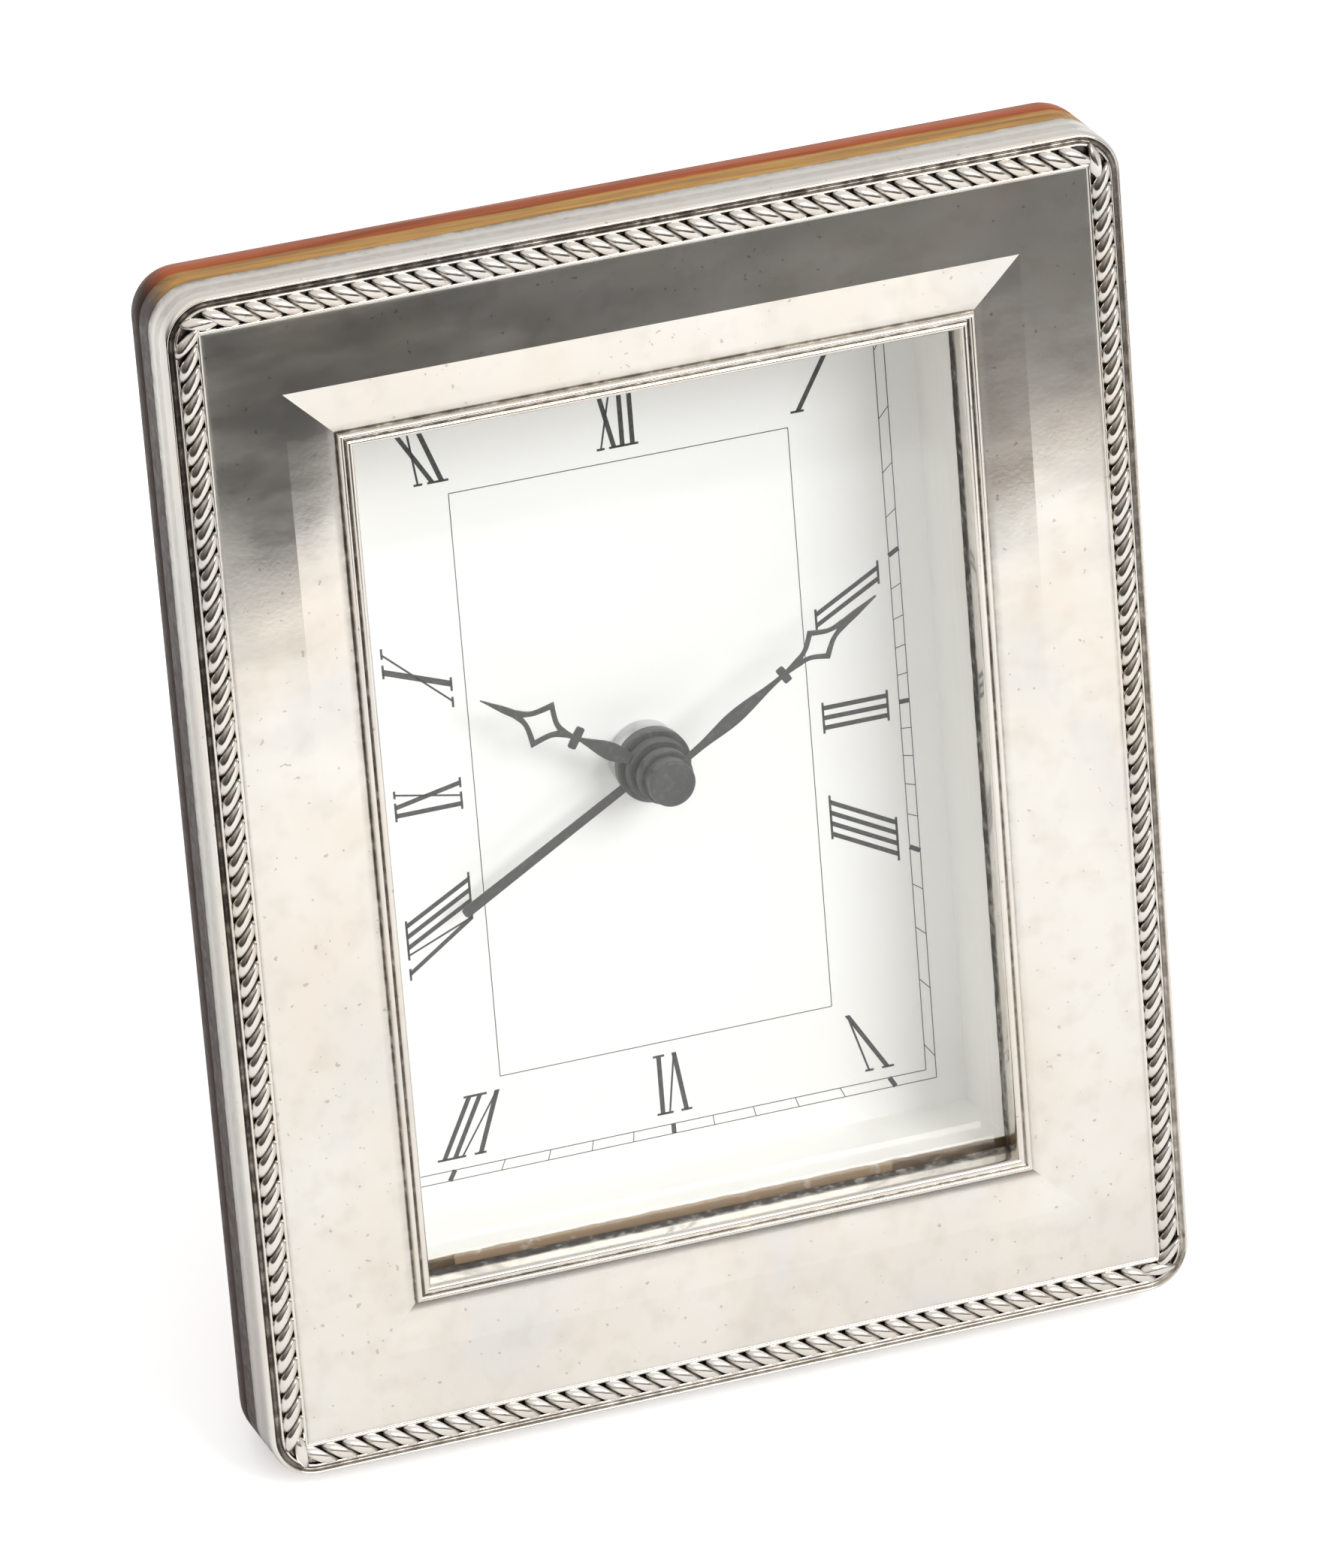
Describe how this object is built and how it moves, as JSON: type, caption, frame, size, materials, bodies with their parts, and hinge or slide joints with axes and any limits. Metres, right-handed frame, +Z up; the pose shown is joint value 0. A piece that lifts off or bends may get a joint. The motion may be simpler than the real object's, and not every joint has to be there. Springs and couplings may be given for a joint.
{
  "type": "photo frame clock",
  "caption": "Leaning table clock in a rectangular silver-faced wooden photo frame, with rope border, glass, roman dial, alarm movement and folding strut.",
  "frame": {"origin": "on the table, below the middle of the bounding box; the clock stands leaned back on its lower back edge and its open strut", "axes": "+X to the right seen from the dial side, +Y towards the back, +Z up"},
  "size_m": [0.1, 0.0538, 0.126],
  "materials": {
    "silver": "polished, aged",
    "mahogany": "satin lacquer",
    "mahogany_back": "matt",
    "clear_glass": "clear",
    "white_liner": "matt",
    "white_dial": "satin",
    "black_hands": "satin black",
    "plated_nut": "bright",
    "case_plastic": "matt black",
    "knob_plastic": "black",
    "wheel_plastic": "acetal",
    "steel": "bright",
    "brass": "aged",
    "cell_jacket": "plain jacket",
    "copper_coil": "enamelled wire",
    "board_green": "solder mask"
  },
  "bodies": {
    "case": {"silver_front": "silver", "wood_frame": "mahogany", "glass": "clear_glass", "reveal_liner": "white_liner", "dial_plate": "white_dial", "back_panel": "mahogany_back", "back_panel_screws": "brass", "movement_front_case": "case_plastic", "movement_rear_case": "case_plastic", "middle_plate": "wheel_plastic", "ring_nut": "plated_nut", "battery": "cell_jacket", "battery_contact_minus": "steel", "battery_contact_plus": "steel", "coil": "copper_coil", "circuit_board": "board_green", "buzzer": "brass", "hinge_leaf_fixed": "brass", "fixed_leaf_screws": "brass", "hinge_pin": "steel"},
    "minute": {"minute_hand": "black_hands", "centre_cap": "black_hands", "minute_arbor": "steel", "time_set_knob": "knob_plastic"},
    "hour": {"hour_hand": "black_hands", "hour_wheel": "wheel_plastic"},
    "motion": {"motion_wheel": "wheel_plastic"},
    "alarm": {"alarm_hand": "black_hands", "alarm_wheel": "wheel_plastic"},
    "alarm_setter": {"alarm_set_knob": "knob_plastic", "alarm_pinion": "wheel_plastic"},
    "alarm_slider": {"alarm_switch": "knob_plastic"},
    "leg": {"strut": "mahogany_back", "hinge_leaf_moving": "brass", "strut_leaf_screws": "brass"}
  },
  "joints": [
    {"name": "minute_spin", "type": "hinge", "parent": "case", "child": "minute", "pos_m": [0.00036, 0.00357, 0.06079], "axis": [0, 0.9748, -0.2229], "continuous": true},
    {"name": "hour_spin", "type": "hinge", "parent": "case", "child": "hour", "pos_m": [0.00036, 0.00357, 0.06079], "axis": [0, 0.9748, -0.2229], "continuous": true},
    {"name": "motion_spin", "type": "hinge", "parent": "case", "child": "motion", "pos_m": [0.00036, 0.00491, 0.06664], "axis": [0, 0.9748, -0.2229], "continuous": true},
    {"name": "alarm_spin", "type": "hinge", "parent": "case", "child": "alarm", "pos_m": [0.00036, 0.00357, 0.06079], "axis": [0, 0.9748, -0.2229], "continuous": true},
    {"name": "alarm_set_spin", "type": "hinge", "parent": "case", "child": "alarm_setter", "pos_m": [0.0101, 0.00483, 0.06628], "axis": [0, 0.9748, -0.2229], "continuous": true},
    {"name": "alarm_switch_slide", "type": "slide", "parent": "case", "child": "alarm_slider", "axis": [1, 0, 0], "range_m": [-0.003, 0]},
    {"name": "strut_hinge", "type": "hinge", "parent": "case", "child": "leg", "pos_m": [0, 0.00173, 0.02986], "axis": [1, 0, 0], "range_deg": [-36, 0]}
  ],
  "couplings": [
    {"joint": "motion_spin", "follows": "minute_spin", "ratio": -0.33333},
    {"joint": "hour_spin", "follows": "minute_spin", "ratio": 0.083333},
    {"joint": "alarm_set_spin", "follows": "alarm_spin", "ratio": -4}
  ]
}
